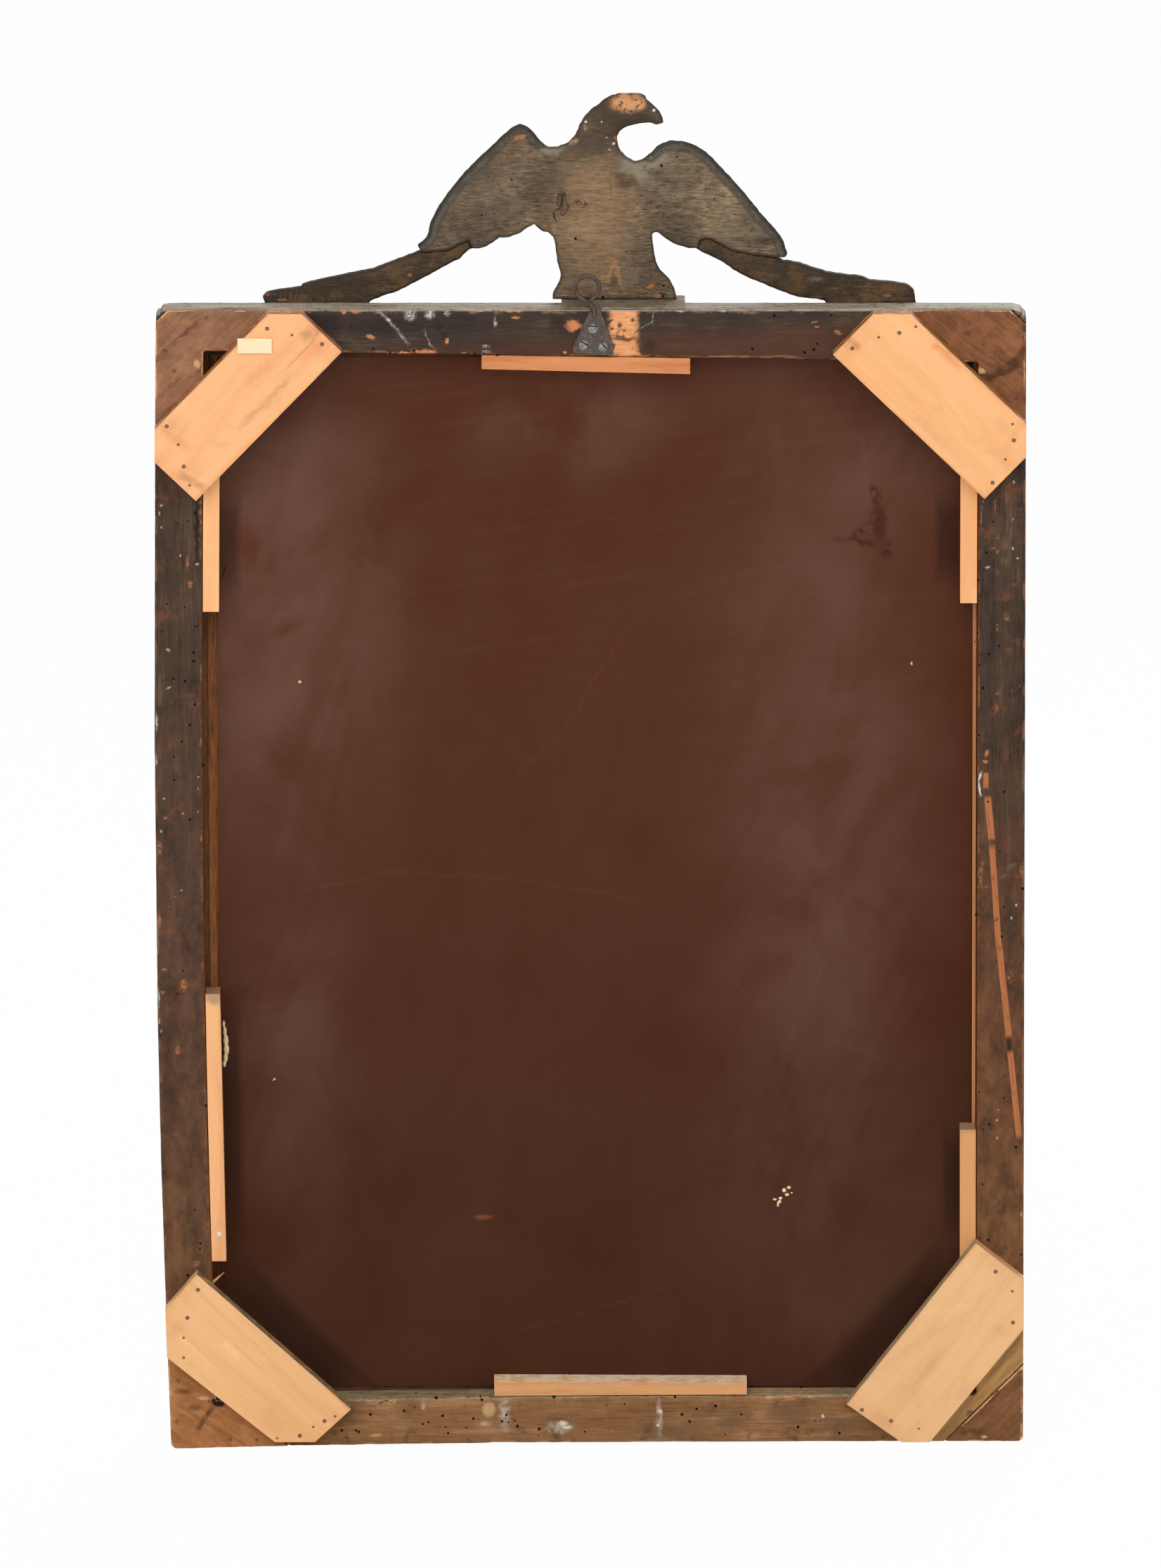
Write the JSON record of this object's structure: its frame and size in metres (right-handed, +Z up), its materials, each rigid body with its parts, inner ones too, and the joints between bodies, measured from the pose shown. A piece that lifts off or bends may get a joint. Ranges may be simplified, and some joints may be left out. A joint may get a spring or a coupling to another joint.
{
  "type": "girandole mirror",
  "caption": "Rectangular giltwood wall mirror with a carved spread eagle crest, leaf sprays, nailed corner battens and a forged iron hanging loop.",
  "frame": {"origin": "seat of the iron hanging loop, the inside of its top, where a wall hook bears", "axes": "+Z up, -Y out of the gilded front, +Y towards the wall, +X to the left as seen from behind"},
  "size_m": [0.6719, 0.0962, 1.0658],
  "materials": {
    "old_stained_pine": "old softwood, stained dark brown, worn at the arrises",
    "old_bare_wood": "old bare softwood, reddish brown, diagonal saw marks",
    "olive_old_wood": "old olive yellow softwood",
    "new_pine": "planed new pine, unfinished",
    "slip_pine": "sawn pine slips",
    "gilded_wood": "water gilding over red bole, rubbed",
    "ebonised_wood": "ebonised, satin",
    "carved_wood": "old carved wood, flat sawn grey brown back, gilded front",
    "carved_leaf_wood": "old carved wood, dark brown back, gilded front",
    "silvered_glass": "silvered glass, dark reddish brown paint on the back",
    "forged_iron": "hand forged, dark patina",
    "screw_steel": "slotted, dull",
    "nail_iron": "dull nail heads",
    "cork": "pale cork pad"
  },
  "bodies": {
    "root": {"top_rail": "old_stained_pine", "bottom_rail": "old_stained_pine", "left_stile": "old_stained_pine", "right_stile": "old_stained_pine", "corner_plate_top_left": "old_bare_wood", "corner_plate_top_right": "old_bare_wood", "corner_plate_bottom_left": "old_bare_wood", "corner_plate_bottom_right": "old_bare_wood", "crest_dowel_1": "old_bare_wood", "crest_dowel_2": "old_bare_wood", "brace_strip_bottom_right": "olive_old_wood", "batten_top_left": "new_pine", "batten_top_right": "new_pine", "batten_bottom_left": "new_pine", "batten_bottom_right": "new_pine", "slip_top": "slip_pine", "slip_bottom": "slip_pine", "slip_left_upper": "slip_pine", "slip_left_lower": "slip_pine", "slip_right_upper": "slip_pine", "slip_right_lower": "slip_pine", "spacer_lath": "slip_pine", "moulding_top": "gilded_wood", "moulding_bottom": "gilded_wood", "moulding_left": "gilded_wood", "moulding_right": "gilded_wood", "reeded_slip_top": "ebonised_wood", "reeded_slip_bottom": "ebonised_wood", "reeded_slip_left": "ebonised_wood", "reeded_slip_right": "ebonised_wood", "eagle_back_board": "carved_wood", "eagle_head": "carved_wood", "eagle_breast": "carved_wood", "crest_plinth": "carved_wood", "leaf_spray_left": "carved_leaf_wood", "leaf_spray_right": "carved_leaf_wood", "mirror_plate": "silvered_glass", "hanger": "forged_iron", "hanger_screw_1": "screw_steel", "hanger_screw_2": "screw_steel", "hanger_screw_3": "screw_steel", "nail_top_left_1": "nail_iron", "nail_top_left_2": "nail_iron", "nail_top_left_3": "nail_iron", "nail_top_left_4": "nail_iron", "nail_top_right_1": "nail_iron", "nail_top_right_2": "nail_iron", "nail_top_right_3": "nail_iron", "nail_top_right_4": "nail_iron", "nail_bottom_right_1": "nail_iron", "nail_bottom_right_2": "nail_iron", "nail_bottom_right_3": "nail_iron", "nail_bottom_right_4": "nail_iron", "nail_bottom_left_1": "nail_iron", "nail_bottom_left_2": "nail_iron", "nail_bottom_left_3": "nail_iron", "nail_bottom_left_4": "nail_iron", "cork_pad": "cork"}
  },
  "joints": []
}
